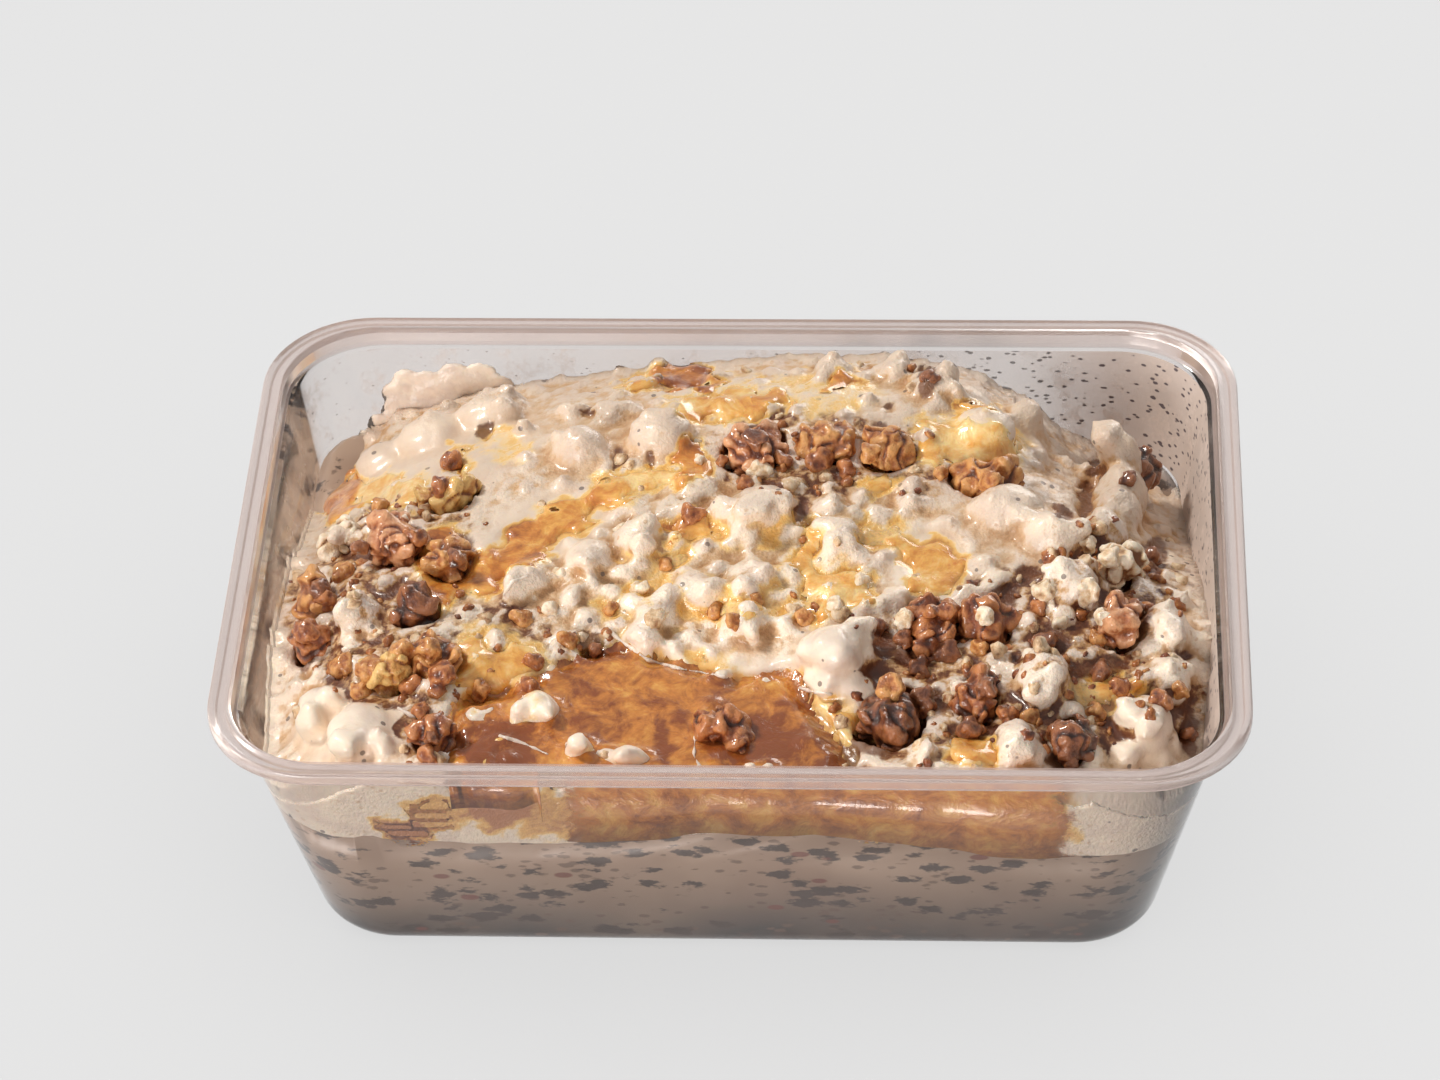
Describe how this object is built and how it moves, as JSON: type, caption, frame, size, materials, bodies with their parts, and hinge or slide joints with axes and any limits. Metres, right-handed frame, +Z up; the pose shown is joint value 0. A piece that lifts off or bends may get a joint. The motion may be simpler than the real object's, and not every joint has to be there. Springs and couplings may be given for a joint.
{
  "type": "millet milk pudding",
  "caption": "Speckled millet milk pudding topped with lumpy cream, walnut pieces and pools of honey, in a clear rectangular takeaway tub with rounded corners.",
  "frame": {"origin": "centre of the tub's footprint, on the surface that it stands on", "axes": "+X along the tub's long side to the right, +Y to the back, +Z up; the honey pool meets the wall on the -Y side"},
  "size_m": [0.173, 0.122, 0.0571],
  "materials": {
    "clear_plastic": "clear, slightly hazy, glossy",
    "pudding": "smooth milk pudding with dark grain specks, satin",
    "cream": "moist cream, satin",
    "walnut": "walnut pieces, moist, partly glazed",
    "honey": "clear amber honey, glossy"
  },
  "bodies": {
    "root": {"tub": "clear_plastic", "pudding": "pudding", "cream_heap": "cream", "walnut_01": "walnut", "walnut_02": "walnut", "walnut_03": "walnut", "walnut_04": "walnut", "walnut_05": "walnut", "walnut_06": "walnut", "walnut_07": "walnut", "walnut_08": "walnut", "walnut_09": "walnut", "walnut_10": "walnut", "walnut_11": "walnut", "walnut_12": "walnut", "walnut_13": "walnut", "walnut_14": "walnut", "walnut_15": "walnut", "walnut_16": "walnut", "walnut_17": "walnut", "walnut_18": "walnut", "walnut_19": "walnut", "walnut_20": "walnut", "walnut_21": "walnut", "walnut_22": "walnut", "walnut_23": "walnut", "honey_pool": "honey", "honey_right": "honey", "honey_streak": "honey", "honey_back": "honey", "honey_crest": "honey", "honey_left": "honey"}
  },
  "joints": []
}
